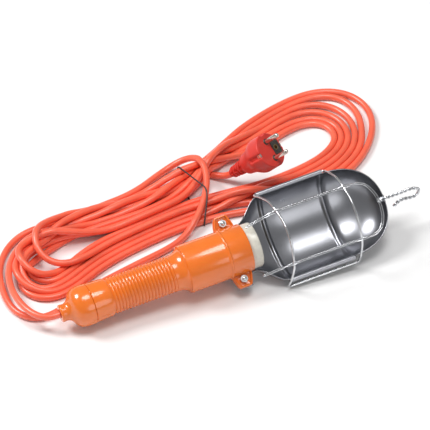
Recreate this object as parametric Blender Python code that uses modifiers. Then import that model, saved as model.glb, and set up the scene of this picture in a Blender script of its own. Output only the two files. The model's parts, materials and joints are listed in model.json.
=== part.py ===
"""Hand-held work light with a wire guard, a hanging hook and its mains lead wound as a hank.

Metres, +Z up. The lamp lies on the floor plane z = 0 with its long axis near +X. Lamp pieces are
modelled in the lamp's own frame: x runs along the lamp from the cable neck to the hook, y across
to the hinged edge of the reflector and z out of the reflector's opening.
"""
import math

import bmesh
import bpy
from mathutils import Matrix, Vector

MM = 0.001
GAP = 0.3                       # clearance between touching pieces, mm

# How the lamp lies on the floor
LAMP_TILT = math.radians(4.2)   # the reflector end is the thicker one, so the axis rises
LAMP_ROLL = math.radians(34.5)  # the opening faces up and to -Y
TAIL = Vector((-198.49, 2.962, 20.367))  # centre of the cable neck's end face, mm

# Stations along the lamp, mm from the neck end
CAP_END = 32.3
GRIP_START = 32.6
RIB_START, RIB_END, RIB_COUNT = 54.0, 121.0, 19
TUBE_START = 134.0
BEAD_AT = 178.5
EAR_AT = 188.0
COLLAR_END = 202.0
CERAMIC_END = 213.0
TROUGH_START, TROUGH_END = 232.5, 305.0
DOME_TIP = 356.0

# Radii and half sizes, mm
CABLE_R = 3.5
NECK_R = 9.0
CAP_R = 21.5
RIB_R, RIB_DEPTH = 18.9, 1.1
TUBE_R = 25.0
HOLDER_BORE_R = 22.3
CERAMIC_R = 23.3
EAR_Y = 30.0
EAR_REACH = 38.0
EAR_HALF = 4.5
BOLT_R, BOLT_HOLE_R = 2.0, 2.3
NUT_SEAT, NUT_HEIGHT, NUT_FLATS = 2.0, 3.1, 7.3
TAB_Z = -5.3
SHEET = 0.8
RIM_Z = -1.0
TROUGH_HALF_WIDTH = 45.0
TROUGH_DEPTH = 34.0
NECK_STATION, FULL_DEPTH_STATION = 204.0, 258.0
CURL_R = 2.0
CURL_Y = TROUGH_HALF_WIDTH + CURL_R
GUARD_WIRE_R = 1.2
STRAND_R = 0.7
CROSSING = GUARD_WIRE_R + STRAND_R + 0.45   # strand centre to hoop centre where they cross
HIP_HINGE_Y, HIP_FREE_Y, HIP_Z = 33.0, -40.0, 24.0
NEAR_HOOP, NEAR_LEAN = 229.5, 7.5
FAR_HOOP, FAR_LEAN = 308.0, 3.0
HOOK_WIRE_R = 1.6
HOOK_Z = -7.0

# E27 lampholder, mm
THREAD_PITCH = 3.63
THREAD_ROOT_R = 13.9
SOCKET_R = 14.4
TERMINAL_Y = 10.0
SHEET_METAL = 0.5

# Plug, mm: the axis and the line through its pins, and the cable end of its strain relief
PLUG_AXIS = Vector((0.49, -0.46, 0.74)).normalized()
PLUG_PIN_LINE = Vector((0.234, -0.749, -0.620)).normalized()
PLUG_CABLE_END = Vector((242.0, 126.0, 14.0))
PLUG_FACE_AT = 62.0
PIN_SPACING = 19.0
PIN_LENGTH = 19.0
PIN_R = 2.4
EARTH_Z = 9.6

# Mains lead, mm, measured from the floor point below TAIL
LEAD_EXIT = [
    (0, 0, 19.7), (-9, 0.6, 19.5), (-18, 5, 19.2), (-25.5, 17, 18.8), (-29.5, 33, 18),
    (-30, 52, 16.5), (-26, 73, 14), (-18, 92, 11.5), (-6, 108, 9.3), (7, 120.3, 8),
    (18, 126.8, 7.5), (29.4, 128.3, 7.5),
]
LEAD_ARCH = [
    (98.4, 138.6, 11), (107, 138.9, 11), (119, 141.5, 10.8), (136, 145.8, 9.8), (156, 151.5, 9),
    (179, 163.5, 8.8), (197, 170.5, 12), (209, 167.5, 17.5), (214, 153, 21.6), (212.5, 131, 22.6),
    (203.5, 107, 22.9), (190.5, 92.5, 22.4), (179.5, 80, 17.6), (167, 69, 7.8), (150, 61, 3.8),
    (124, 56, 3.75), (96, 49, 3.75), (66, 42, 3.75), (38, 34, 3.75), (14, 24, 3.75), (-6, 18, 3.75),
    (-21, 21, 3.75), (-31, 32, 3.75), (-35, 48, 3.75), (-34, 70, 3.75), (-29, 92, 3.75),
    (-19, 111, 3.75), (-5, 126.5, 3.8), (10, 135.3, 4.5), (20, 137.1, 5.7), (29.6, 137.4, 6.5),
]
LEAD_PLUG = [
    (221.5, 145.3, 4.6), (226.7, 140.4, 4.6), (232.3, 135.1, 5.6), (237.5, 130.2, 8.8),
    (239.8, 128, 10.7), (241.8, 126.2, 13.7),
]
HANK_OUTLINE = [
    (30, 124), (30, 142.5), (45, 145), (67, 147), (84, 147.5), (98, 145.5), (98, 131),
    (119, 135.5), (140, 141), (156, 146), (176, 150), (192, 151), (210, 155), (224, 164),
    (242, 173), (260, 182), (284, 195), (319, 208), (355, 219.5), (373, 221.5), (391, 217.5),
    (406, 206), (413, 188), (415, 166), (411, 143), (402, 124), (387, 108), (364, 93), (338, 81),
    (309, 74), (280, 72), (250, 74), (219, 77), (200, 84.5), (178, 85), (154, 80.5), (118, 72.5),
    (81, 62.5), (44, 53.5), (14, 44.5), (-4, 43), (-14, 50), (-17.5, 62), (-16, 76), (-8, 90),
    (4, 104), (17, 116),
]
HANK_WINDOW = [
    (216, 140.8), (223.6, 148.4), (240, 150), (262, 156), (290, 165), (315, 169), (349, 169),
    (367, 154), (356, 138), (331, 124), (313, 119), (290, 116), (266, 114), (246, 112.5),
    (230, 117), (218, 129),
]
HANK_LOW, HANK_HIGH = 0.3, 15.8
TIE_BACK, TIE_FRONT = Vector((196.0, 154.4)), Vector((187.0, 82.2))
TIE_R = 0.6


def clear_scene():
    for obj in list(bpy.data.objects):
        bpy.data.objects.remove(obj, do_unlink=True)


def make_collection(name):
    coll = bpy.data.collections.new(name)
    bpy.context.scene.collection.children.link(coll)
    return coll


def material(name, color, roughness, metallic=0.0):
    mat = bpy.data.materials.new(name)
    mat.use_nodes = True
    shader = mat.node_tree.nodes["Principled BSDF"]
    shader.inputs["Base Color"].default_value = (*color, 1.0)
    shader.inputs["Roughness"].default_value = roughness
    shader.inputs["Metallic"].default_value = metallic
    return mat


def empty(name, parent=None, matrix=None):
    obj = bpy.data.objects.new(name, None)
    PARTS.objects.link(obj)
    obj.parent = parent
    if matrix is not None:
        obj.matrix_basis = matrix
    return obj


def add(name, data, mat, parent=None, collection=None):
    """A named object for a mesh or curve, with its material, under its parent."""
    obj = bpy.data.objects.new(name, data)
    (collection or PARTS).objects.link(obj)
    obj.parent = parent
    if mat is not None:
        data.materials.append(mat)
    return obj


def as_cutter(obj):
    """The same object, kept out of the part's own look."""
    obj.hide_render = True
    obj.display_type = "WIRE"
    return obj


def shade(mesh):
    mesh.shade_smooth()
    mesh.set_sharp_from_angle(angle=math.radians(35.0))


def catmull(points, step):
    """Points about `step` apart on a smooth curve through `points`."""
    pts = [Vector(p) for p in points]
    pts = [pts[0] * 2 - pts[1]] + pts + [pts[-1] * 2 - pts[-2]]
    out = []
    for a, b, c, d in zip(pts, pts[1:], pts[2:], pts[3:]):
        count = max(1, round((c - b).length / step))
        for i in range(count):
            t = i / count
            out.append(0.5 * (2 * b + (c - a) * t + (2 * a - 5 * b + 4 * c - d) * t * t
                              + (3 * b - a - 3 * c + d) * t ** 3))
    return out + [pts[-2]]


def turned(name, profile, mat, parent, steps=24, at=(0, 0), solid=False):
    """A profile of (station, radius) in mm, turned round a line along x through (y, z) = at.

    A ring's profile is a closed outline. A solid's starts and ends on the axis, far end first.
    """
    points = [(r * MM, s * MM) for s, r in profile]
    if not solid:
        area = sum(a[0] * b[1] - b[0] * a[1] for a, b in zip(points, points[1:] + points[:1]))
        if area > 0:
            points.reverse()
    bm = bmesh.new()
    verts = [bm.verts.new((r, 0, s)) for r, s in points]
    pairs = list(zip(verts, verts[1:]))
    if not solid:
        pairs.append((verts[-1], verts[0]))
    for a, b in pairs:
        bm.edges.new((a, b))
    mesh = bpy.data.meshes.new(name)
    bm.to_mesh(mesh)
    bm.free()
    obj = add(name, mesh, mat, parent)
    stand = Matrix.Rotation(math.pi / 2, 4, "Y")
    obj.matrix_basis = Matrix.Translation((0, at[0] * MM, at[1] * MM)) @ stand
    screw = obj.modifiers.new("turn", "SCREW")
    screw.steps = screw.render_steps = steps
    screw.use_merge_vertices = solid
    screw.merge_threshold = 0.00001
    screw.use_smooth_shade = True
    return obj


def tube(name, points, radius, mat, parent=None, cyclic=False, resolution=2):
    """A round wire or cable through points in mm."""
    curve = bpy.data.curves.new(name, "CURVE")
    curve.dimensions = "3D"
    curve.bevel_depth = radius * MM
    curve.bevel_resolution = resolution
    curve.use_fill_caps = not cyclic
    spline = curve.splines.new("POLY")
    spline.points.add(len(points) - 1)
    for point, place in zip(spline.points, points):
        point.co = (*(Vector(place) * MM), 1.0)
    spline.use_cyclic_u = cyclic
    return add(name, curve, mat, parent)


def plate(name, outlines, low, high, mat, parent=None, collection=None):
    """Outlines in the xy plane in mm, the first outer and the rest holes, extruded along z."""
    curve = bpy.data.curves.new(name, "CURVE")
    curve.dimensions = "2D"
    curve.fill_mode = "BOTH"
    curve.extrude = (high - low) / 2 * MM
    for outline in outlines:
        spline = curve.splines.new("POLY")
        spline.points.add(len(outline) - 1)
        for point, (x, y) in zip(spline.points, outline):
            point.co = (x * MM, y * MM, 0, 1)
        spline.use_cyclic_u = True
    obj = add(name, curve, mat, parent, collection)
    obj.location = (0, 0, (low + high) / 2 * MM)
    return obj


def to_mesh(obj):
    """The same object as a welded mesh, for a modifier that a curve can't take."""
    bpy.context.view_layer.update()
    source = obj.evaluated_get(bpy.context.evaluated_depsgraph_get())
    mesh = bpy.data.meshes.new_from_object(source)
    bm = bmesh.new()
    bm.from_mesh(mesh)
    bmesh.ops.remove_doubles(bm, verts=bm.verts, dist=0.000001)
    bm.to_mesh(mesh)
    bm.free()
    new = bpy.data.objects.new("welded", mesh)
    for coll in obj.users_collection:
        coll.objects.link(new)
    new.parent = obj.parent
    new.matrix_world = obj.matrix_world
    name = obj.name
    bpy.data.objects.remove(obj)
    new.name = name
    return new


def boolean(obj, other, operation="DIFFERENCE"):
    """The object minus another one, or joined with it."""
    mod = obj.modifiers.new(operation.lower(), "BOOLEAN")
    mod.operation = operation
    mod.solver = "EXACT"
    mod.object = other


def peg(name, place, radius, low, high, parent, axis="Z", steps=20):
    """A cutter cylinder along x or z through a point in mm."""
    mesh = bpy.data.meshes.new(name)
    bm = bmesh.new()
    bmesh.ops.create_cone(bm, cap_ends=True, segments=steps, radius1=radius * MM, radius2=radius * MM,
                          depth=(high - low) * MM)
    bm.to_mesh(mesh)
    bm.free()
    obj = as_cutter(add(name, mesh, None, parent, CUTTERS))
    turn = Matrix.Rotation(math.pi / 2, 4, "Y") if axis == "X" else Matrix.Identity(4)
    offset = Vector((1, 0, 0) if axis == "X" else (0, 0, 1)) * (low + high) / 2
    obj.matrix_basis = Matrix.Translation((Vector(place) + offset) * MM) @ turn
    return obj


def block(name, centre, size, mat, parent, collection=None):
    """A box by its centre and its whole size in mm."""
    mesh = bpy.data.meshes.new(name)
    bm = bmesh.new()
    bmesh.ops.create_cube(bm, size=1.0)
    bmesh.ops.scale(bm, vec=Vector(size) * MM, verts=bm.verts)
    bm.to_mesh(mesh)
    bm.free()
    obj = add(name, mesh, mat, parent, collection)
    obj.location = Vector(centre) * MM
    return obj


def arc(centre, radii, start, end, count):
    """Points (station, radius) on an ellipse arc, angles in degrees from +station."""
    points = []
    for i in range(count + 1):
        a = math.radians(start + (end - start) * i / count)
        points.append((centre[0] + radii[0] * math.cos(a), centre[1] + radii[1] * math.sin(a)))
    return points


def make_tail_cap():
    flare = arc((12.0, CAP_R - 0.5), (13.0, CAP_R - 0.5 - NECK_R + 0.2), 270, 360, 6)
    outer = [(0.0, NECK_R - 0.9), (0.9, NECK_R), (9.0, NECK_R - 0.3)] + flare
    outer += [(28.0, CAP_R), (CAP_END, CAP_R - 0.6)]
    inner = [(CAP_END, 15.3), (21.0, 15.3), (21.0, CABLE_R + 0.5), (0.0, CABLE_R + 0.5)]
    return turned("tail_cap", outer + inner, ORANGE, LAMP, steps=28)


def grip_outline():
    points = [(GRIP_START, 20.5), (51.0, 19.7), (53.0, RIB_R - RIB_DEPTH)]
    pitch = (RIB_END - RIB_START) / RIB_COUNT
    for i in range(RIB_COUNT):
        base = RIB_START + i * pitch
        points += [(base + 0.35 * pitch, RIB_R), (base + pitch, RIB_R - RIB_DEPTH)]
    flare = arc((RIB_END, TUBE_R), (TUBE_START - RIB_END, TUBE_R - RIB_R + RIB_DEPTH - 0.8), 270, 360, 5)
    points += flare[1:]
    points += [(BEAD_AT - 1.6, TUBE_R), (BEAD_AT - 0.9, TUBE_R + 1.2)]
    points += [(BEAD_AT + 0.9, TUBE_R + 1.2), (BEAD_AT + 1.6, TUBE_R)]
    points += [(COLLAR_END - 0.6, TUBE_R), (COLLAR_END, TUBE_R - 0.6)]
    return points


def make_grip():
    bore = [(COLLAR_END, HOLDER_BORE_R), (166.0, HOLDER_BORE_R), (166.0, 17.0), (140.0, 17.0)]
    bore += [(125.0, 13.0), (42.0, 13.0), (40.0, 9.0), (33.6, 9.0)]
    bore += [(33.6, 12.0), (23.4, 12.0), (23.4, 15.0), (GRIP_START, 15.0)]
    grip = turned("grip", grip_outline() + bore, ORANGE, LAMP)
    for side, name in ((1, "hinge_side"), (-1, "free_side")):
        half = [(10, 23.4), (9, 29.5), (5.5, EAR_REACH)]
        outline = [(-x, y) for x, y in half] + half[::-1]
        outline = [(EAR_AT + x, side * y) for x, y in outline]
        lug = plate("ear_" + name, [outline], -EAR_HALF, EAR_HALF, None, LAMP, CUTTERS)
        boolean(grip, as_cutter(to_mesh(lug)), "UNION")
        centre = (EAR_AT, side * EAR_Y, 0)
        boolean(grip, peg("ear_hole_" + name, centre, BOLT_HOLE_R, -8, 8, LAMP))
        boolean(grip, peg("nut_seat_" + name, centre, 4.8, NUT_SEAT, 8, LAMP))
    return grip


def make_gland():
    turned("gland_washer", [(21.3, 4.0), (21.3, 11.7), (23.0, 11.7), (23.0, 4.0)], STEEL, LAMP)
    turned("cord_gland", [(23.3, 3.8), (23.3, 11.7), (31.5, 11.7), (33.3, 8.7), (33.3, 3.8)], BLACK, LAMP)


def make_inner_cable():
    route = [(x, 0, 0) for x in (GAP, 30.0, 90.0, 139.0)]
    tube("lead_in_handle", route, CABLE_R, CORAL, LAMP, resolution=3)
    for name, side, mat in (("core_live", 1, BROWN), ("core_neutral", -1, BLUE)):
        half = [(139.3, 1.6), (146, 2.2), (153, 6.5), (158.5, 9.4), (164.2, TERMINAL_Y)]
        route = [(x, side * y, 0) for x, y in half]
        tube(name, catmull(route, 4.0), 1.2, mat, LAMP)


def make_lampholder():
    floor = 176.0
    body = [(floor, 4.0), (166.6, 4.0), (166.6, 22.0), (COLLAR_END + GAP, 22.0)]
    body += [(COLLAR_END + GAP, CERAMIC_R), (CERAMIC_END - 0.8, CERAMIC_R)]
    body += [(CERAMIC_END, CERAMIC_R - 0.8), (CERAMIC_END, 15.0), (CERAMIC_END - 0.6, SOCKET_R)]
    body += [(floor, SOCKET_R)]
    ceramic = turned("lampholder_ceramic", body, CERAMIC, LAMP, steps=28)
    screw = [(171.5, 0), (171.5, 1.7), (166.3, 1.7), (166.3, 2.9), (164.5, 2.9), (164.5, 0)]
    for name, y in (("live", TERMINAL_Y), ("neutral", -TERMINAL_Y)):
        boolean(ceramic, peg("terminal_hole_" + name, (0, y, 0), 2.1, 165.0, 172.0, LAMP, "X"))
        turned("terminal_screw_" + name, screw, BRASS, LAMP, steps=16, at=(y, 0), solid=True)
    outer, inner = [], []
    count = 6
    for i in range(2 * count + 1):
        station = CERAMIC_END - 5.0 - i * THREAD_PITCH / 2
        radius = THREAD_ROOT_R - (0.0 if i % 2 else 1.0)
        outer.append((station, radius))
        inner.insert(0, (station, radius - SHEET_METAL))
    turned("threaded_shell", outer + inner, BRASS, LAMP, steps=18)
    tongue = [(-1.2, 3.0), (-1.2, 3.6), (3.6, 4.9), (7.6, 8.6), (12.2, 8.6), (12.2, 8.0)]
    tongue += [(7.9, 8.0), (3.9, 4.3)]
    strip = plate("centre_contact", [tongue], -2.5, 2.5, BRASS, LAMP)
    across = Matrix(((0, 1, 0, 0), (1, 0, 0, 0), (0, 0, 1, 0), (0, 0, 0, 1)))
    strip.matrix_basis = Matrix.Translation(Vector((floor - 2.6, -6.0, 0)) * MM) @ across
    block("shell_contact", (181.2, 0, 13.1), (9.0, 5.0, 0.6), BRASS, LAMP)


def ease(t):
    return t * t * (3 - 2 * t)


def reflector_section(station):
    """Half width, depth, top z and start angle of the sheet's cross-section at a station."""
    band_r = TUBE_R + 0.4 + SHEET / 2
    band_start = math.asin(-TAB_Z / band_r)
    if station <= NECK_STATION:
        return band_r, band_r, 0.0, band_start
    if station <= TROUGH_END:
        flare = min(1.0, (station - NECK_STATION) / (TROUGH_START - NECK_STATION))
        sink = min(1.0, (station - NECK_STATION) / (FULL_DEPTH_STATION - NECK_STATION))
        wide = ease(flare)
        width = band_r + (TROUGH_HALF_WIDTH - band_r) * wide
        depth = band_r + (TROUGH_DEPTH - band_r) * ease(sink)
        return width, depth, RIM_Z * wide, band_start * max(0.0, 1 - flare / 0.35)
    power = 2.3                 # of the dome's squared-off ellipse
    t = (station - TROUGH_END) / (DOME_TIP - TROUGH_END)
    g = (1 - t ** power) ** (1 / power)
    return TROUGH_HALF_WIDTH * g, TROUGH_DEPTH * g, RIM_Z, 0.0


def make_reflector():
    """One sheet: neck band and tabs, flare, trough with rolled edges, dome."""
    around, rolled = 16, 6
    stations = [EAR_AT - 7, EAR_AT + 9, NECK_STATION, 209.0, 214.0, 219.0, 224.0, 229.0, TROUGH_START]
    stations += [240.0, 249.0, FULL_DEPTH_STATION, TROUGH_END]
    shares = (0.2, 0.38, 0.54, 0.68, 0.8, 0.9, 0.97)
    stations += [TROUGH_END + (DOME_TIP - TROUGH_END) * t for t in shares]
    bm = bmesh.new()

    def edge_points(station, side):
        if station < NECK_STATION:
            return [(station, side * y, TAB_Z) for y in (EAR_REACH, 31.0)]
        if TROUGH_START <= station <= TROUGH_END:
            points = []
            for i in range(rolled, 0, -1):
                a = math.pi - i * math.radians(285) / rolled
                y = CURL_Y + CURL_R * math.cos(a)
                points.append((station, side * y, RIM_Z + CURL_R * math.sin(a)))
            return points
        return []

    rows = []
    for station in stations:
        width, depth, top, start = reflector_section(station)
        middle = []
        for i in range(around + 1):
            a = start + (math.pi - 2 * start) * i / around
            middle.append((station, width * math.cos(a), top - depth * math.sin(a)))
        row = [edge_points(station, 1), middle, edge_points(station, -1)[::-1]]
        rows.append([[bm.verts.new(Vector(p) * MM) for p in part] for part in row])
    for near, far in zip(rows, rows[1:]):
        for j in range(around):
            bm.faces.new((near[1][j], near[1][j + 1], far[1][j + 1], far[1][j]))
        for part, inner in ((0, 0), (2, -1)):
            if near[part] and len(near[part]) == len(far[part]):
                a = near[part] + [near[1][inner]] if part == 0 else [near[1][inner]] + near[part]
                b = far[part] + [far[1][inner]] if part == 0 else [far[1][inner]] + far[part]
                for j in range(len(a) - 1):
                    bm.faces.new((a[j], a[j + 1], b[j + 1], b[j]))
    tip = bm.verts.new(Vector((DOME_TIP, 0, RIM_Z)) * MM)
    last = rows[-1][1]
    for j in range(around):
        bm.faces.new((last[j], last[j + 1], tip))
    bmesh.ops.recalc_face_normals(bm, faces=bm.faces)
    mesh = bpy.data.meshes.new("reflector")
    bm.to_mesh(mesh)
    bm.free()
    shade(mesh)
    sheet = add("reflector", mesh, BRIGHT_STEEL, LAMP)
    solid = sheet.modifiers.new("sheet", "SOLIDIFY")
    solid.thickness = SHEET * MM
    solid.offset = 0.0
    for side, name in ((1, "hinge_side"), (-1, "free_side")):
        boolean(sheet, peg("tab_hole_" + name, (EAR_AT, side * EAR_Y, 0), BOLT_HOLE_R, -8, -3, LAMP))
    hole = peg("hook_hole", (0, 0, HOOK_Z), 3.3, DOME_TIP - 6, DOME_TIP + 4, LAMP, "X")
    boolean(sheet, hole)
    return sheet


def make_fasteners():
    for name, side in (("hinge_side", 1), ("free_side", -1)):
        centre = Matrix.Translation(Vector((EAR_AT, side * EAR_Y, 0)) * MM)
        pivot = empty("bolt_axis_" + name, LAMP, centre @ Matrix.Rotation(-math.pi / 2, 4, "Y"))
        bolt = [(7.4, 0), (7.4, 1.6), (7.0, BOLT_R), (-7.1, BOLT_R), (-7.1, 3.3), (-8.6, 3.1)]
        bolt += [(-9.8, 2.0), (-9.8, 0)]
        turned("ear_bolt_" + name, bolt, ZINC, pivot, steps=16, solid=True)
        washer = [(-6.8, 2.3), (-6.8, 3.5), (-6.0, 3.5), (-6.0, 2.3)]
        turned("ear_washer_" + name, washer, ZINC, pivot, steps=16)
        corner_r = NUT_FLATS / 2 / math.cos(math.radians(30))
        low, high = NUT_SEAT + GAP, NUT_SEAT + GAP + NUT_HEIGHT
        nut = [(low, 2.3), (low, corner_r), (high, corner_r), (high, 2.3)]
        turned("ear_nut_" + name, nut, ZINC, pivot, steps=6)


def hoop_place(y):
    """Height of the guard's arc above the axis at y, and how far along the arc's lean it is."""
    along = (HIP_HINGE_Y - y) / (HIP_HINGE_Y - HIP_FREE_Y)
    crown = math.sin(math.pi * along)
    return HIP_Z + 17.0 * crown ** 0.8, 0.8 + 0.4 * crown


def hoop(base, lean):
    """Points of one guard hoop, from the hinged edge over the opening to the free edge."""
    points = [(base, CURL_Y, RIM_Z), (base + lean * 0.4, CURL_Y - 5.0, RIM_Z + 10.0)]
    for i in range(9):
        y = HIP_HINGE_Y + (HIP_FREE_Y - HIP_HINGE_Y) * i / 8
        z, share = hoop_place(y)
        points.append((base + lean * share, y, z))
    return points + [(base + lean * 0.35, -48.5, 8.0), (base, -52.0, -5.0)]


def make_guard():
    loop = hoop(NEAR_HOOP, NEAR_LEAN)[::-1] + hoop(FAR_HOOP, FAR_LEAN)
    loop = [Vector(p) - HINGE for p in loop]
    tube("guard_frame", loop, GUARD_WIRE_R, ZINC, GUARD, cyclic=True)
    hinge_y, free_y = 19.0, -36.0
    crossings = []
    for y in (hinge_y, free_y):
        z, share = hoop_place(y)
        crossings.append((NEAR_HOOP + NEAR_LEAN * share, FAR_HOOP + FAR_LEAN * share, z))
    (near_1, far_1, z_1), (near_2, far_2, z_2) = crossings
    route = [(205, 15, 27), (221, 17.5, 31.5), (near_1, hinge_y, z_1), (262, hinge_y, z_1 + 1)]
    route += [(288, hinge_y, z_1 + 1), (far_1, hinge_y, z_1), (325, 18.5, 33), (334, 14, 31.5)]
    route += [(340, 3, 30), (341.5, -10, 29), (339, -23, 28), (333, -32, 27.5), (323, -36, 27.5)]
    route += [(far_2, free_y, z_2), (288, free_y, z_2 + 1), (262, free_y, z_2 + 1)]
    route += [(near_2, free_y, z_2), (221, free_y, 25.5), (205, -36.4, 22)]
    for name, sign in (("outer", 1), ("inner", -1)):
        points = []
        for x, y, z in route:
            crossing = min(abs(x - c) for c in (near_1, far_1, near_2, far_2))
            spread = 0.95 + (CROSSING - 0.95) * math.exp(-(crossing / 7.0) ** 2)
            outward = Vector((0, y - (hinge_y + free_y) / 2, z + 10.0)).normalized()
            points.append(Vector((x, y, z)) + outward * sign * spread - HINGE)
        tube("guard_strand_" + name, catmull(points, 9.0), STRAND_R, ZINC, GUARD)


def make_hook():
    route = [(352, 0), (366, 0), (377, 0), (386, 0.4), (392.5, -1.2), (396.3, -5.2), (394.5, -10)]
    route += [(389, -12.3), (383, -11.2), (377.5, -10.4), (372.5, -12), (368, -16)]
    points = catmull([(x, 0, z) for x, z in route], 3.0)
    tube("hook", points, HOOK_WIRE_R, ZINC, HOOK)
    collar = [(349.8, 1.9), (349.8, 3.6), (351.6, 3.8), (351.6, 1.9)]
    turned("hook_retainer", collar, ZINC, HOOK, steps=16)
    eyelet = [(352.0, 2.0), (352.0, 3.0), (356.9, 3.0), (356.9, 4.6), (357.7, 4.6), (357.7, 2.0)]
    turned("hook_eyelet", eyelet, ZINC, LAMP, steps=20, at=(0, HOOK_Z))


def make_lead():
    floor_tail = Vector((TAIL.x, TAIL.y, 0))

    def placed(route):
        return [Vector(p) + floor_tail for p in route]

    exit_route = placed(LEAD_EXIT)
    exit_route[0] = LAMP.matrix_basis @ (Vector((-GAP, 0, 0)) * MM) / MM
    tube("lead_exit", catmull(exit_route, 15.0), CABLE_R, CORAL, resolution=3)
    tube("lead_arch", catmull(placed(LEAD_ARCH), 16.0), CABLE_R, CORAL, resolution=3)
    tube("lead_plug_end", catmull(placed(LEAD_PLUG), 9.0), CABLE_R, CORAL, resolution=3)
    outlines = [[(x + TAIL.x, y + TAIL.y) for x, y in line] for line in (HANK_OUTLINE, HANK_WINDOW)]
    hank = to_mesh(plate("lead_hank", outlines, HANK_LOW, HANK_HIGH, CORAL))
    across = (TIE_FRONT - TIE_BACK).normalized()
    along = Vector((-across.y, across.x)) * 1.5
    ends = (TIE_BACK - across * 6.0, TIE_FRONT + across * 6.0)
    corners = [ends[0] - along, ends[1] - along, ends[1] + along, ends[0] + along]
    corners = [(p.x + TAIL.x, p.y + TAIL.y) for p in corners]
    groove = to_mesh(plate("tie_groove", [corners], -1.0, 1.8, None, None, CUTTERS))
    boolean(hank, as_cutter(groove))
    low, high = TIE_R + 0.2, HANK_HIGH + GAP + TIE_R
    loop = []
    for end, outward in ((TIE_BACK, -across), (TIE_FRONT, across)):
        side = [(0.5, low), (2.0, low + 2.0), (2.0, high - 2.0), (0.5, high)]
        if end is TIE_BACK:
            side.reverse()
        for reach, z in side:
            place = end + outward * reach
            loop.append((place.x + TAIL.x, place.y + TAIL.y, z))
    tube("hank_tie", loop, TIE_R, BLACK, cyclic=True)


def make_plug():
    side = PLUG_PIN_LINE - PLUG_AXIS * PLUG_PIN_LINE.dot(PLUG_AXIS)
    side.normalize()
    up = PLUG_AXIS.cross(side)
    place = (PLUG_CABLE_END + Vector((TAIL.x, TAIL.y, 0))) * MM
    frame = Matrix.Translation(place) @ Matrix((PLUG_AXIS, side, up)).transposed().to_4x4()
    plug = empty("plug_frame", None, frame)
    relief = [(24.0, 0), (24.0, 8.2)]
    for i in range(5):
        at, r = 22.4 - i * 4.2, 8.0 - i * 0.5
        relief += [(at, r), (at - 1.2, r - 1.4), (at - 3.0, r - 1.5)]
    relief += [(0.0, 4.4), (0.0, 0)]
    turned("plug_strain_relief", relief, RED, plug, steps=18, solid=True)
    face = PLUG_FACE_AT
    shell = [(face, 0), (face, 18.2), (face - 1.0, 19.0), (face - 14.0, 19.0), (face - 20.0, 17.4)]
    shell += [(face - 28.0, 13.2), (face - 34.0, 11.6), (24.3, 11.0), (24.3, 0)]
    body = turned("plug_body", shell, RED, plug, steps=32, solid=True)
    pocket = block("insert_pocket", (face - 2.5, 0, EARTH_Z), (9.0, 12.6, 10.6), None, plug, CUTTERS)
    boolean(body, as_cutter(pocket))
    bridge = block("plug_bridge", (face - 3.1, 0, EARTH_Z), (5.8, 12.0, 10.0), DARK, plug)
    boolean(bridge, peg("earth_bore", (0, 0, EARTH_Z), 3.1, face - 4.5, face + 2, plug, "X", 16))
    sleeve = [(face - 4.2, 2.2), (face - 4.2, 2.8), (face - 0.4, 2.8), (face - 0.4, 2.2)]
    turned("plug_earth_sleeve", sleeve, BRASS, plug, steps=16, at=(0, EARTH_Z))
    for name, y in (("live", PIN_SPACING / 2), ("neutral", -PIN_SPACING / 2)):
        hole = peg("pin_hole_" + name, (0, y, 0), PIN_R + GAP, face - 9, face + 2, plug, "X")
        boolean(body, hole)
        tip = face + PIN_LENGTH
        pin = [(tip, 0), (tip - 0.4, 1.4), (tip - 1.8, PIN_R), (face - 8.6, PIN_R), (face - 8.6, 0)]
        turned("plug_pin_" + name, pin, NICKEL, plug, steps=20, at=(y, 0), solid=True)
    for name, sign in (("upper", 1), ("lower", -1)):
        place = (face - 9.0, 0, sign * 18.2)
        slot = block("clip_slot_" + name, place, (20.0, 4.6, 3.4), None, plug, CUTTERS)
        boolean(body, as_cutter(slot))
        block("plug_earth_clip_" + name, (face - 8.9, 0, sign * 17.4), (17.0, 4.0, 1.0), NICKEL, plug)


clear_scene()
PARTS = make_collection("work_light")
CUTTERS = make_collection("work_light_cutters")

ORANGE = material("orange plastic", (0.93, 0.24, 0.02), 0.28)
CORAL = material("coral cable sheath", (0.85, 0.13, 0.06), 0.42)
RED = material("red plug rubber", (0.72, 0.05, 0.02), 0.45)
BLACK = material("black rubber", (0.02, 0.02, 0.02), 0.6)
DARK = material("dark plug insert", (0.04, 0.035, 0.03), 0.5)
CERAMIC = material("cream ceramic", (0.83, 0.79, 0.68), 0.35)
BRIGHT_STEEL = material("bright steel sheet", (0.55, 0.55, 0.56), 0.15, 1.0)
STEEL = material("plain steel", (0.5, 0.5, 0.5), 0.35, 1.0)
ZINC = material("zinc plated wire", (0.72, 0.72, 0.74), 0.25, 1.0)
NICKEL = material("nickel plated pin", (0.75, 0.73, 0.68), 0.2, 1.0)
BRASS = material("brass", (0.72, 0.52, 0.24), 0.3, 1.0)
BROWN = material("brown core", (0.2, 0.08, 0.03), 0.5)
BLUE = material("blue core", (0.05, 0.2, 0.6), 0.5)

LYING = Matrix.Rotation(-LAMP_TILT, 4, "Y") @ Matrix.Rotation(LAMP_ROLL, 4, "X")
LAMP = empty("lamp_frame", None, Matrix.Translation(TAIL * MM) @ LYING)
HINGE = Vector(((TROUGH_START + TROUGH_END) / 2, CURL_Y, RIM_Z))
GUARD = empty("guard_hinge", LAMP, Matrix.Translation(HINGE * MM))
HANGING = Matrix.Rotation(-LAMP_ROLL, 4, "X")
HOOK = empty("hook_swivel", LAMP, Matrix.Translation((0, 0, HOOK_Z * MM)) @ HANGING)

make_tail_cap()
make_grip()
make_gland()
make_inner_cable()
make_lampholder()
make_reflector()
make_fasteners()
make_guard()
make_hook()
make_lead()
make_plug()
bpy.context.view_layer.update()
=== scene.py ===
"""A hand-held work light with its lead wound as a hank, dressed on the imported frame."""
import json
import math
import bmesh
import bpy
import numpy as np
from mathutils import Matrix, Vector


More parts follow.
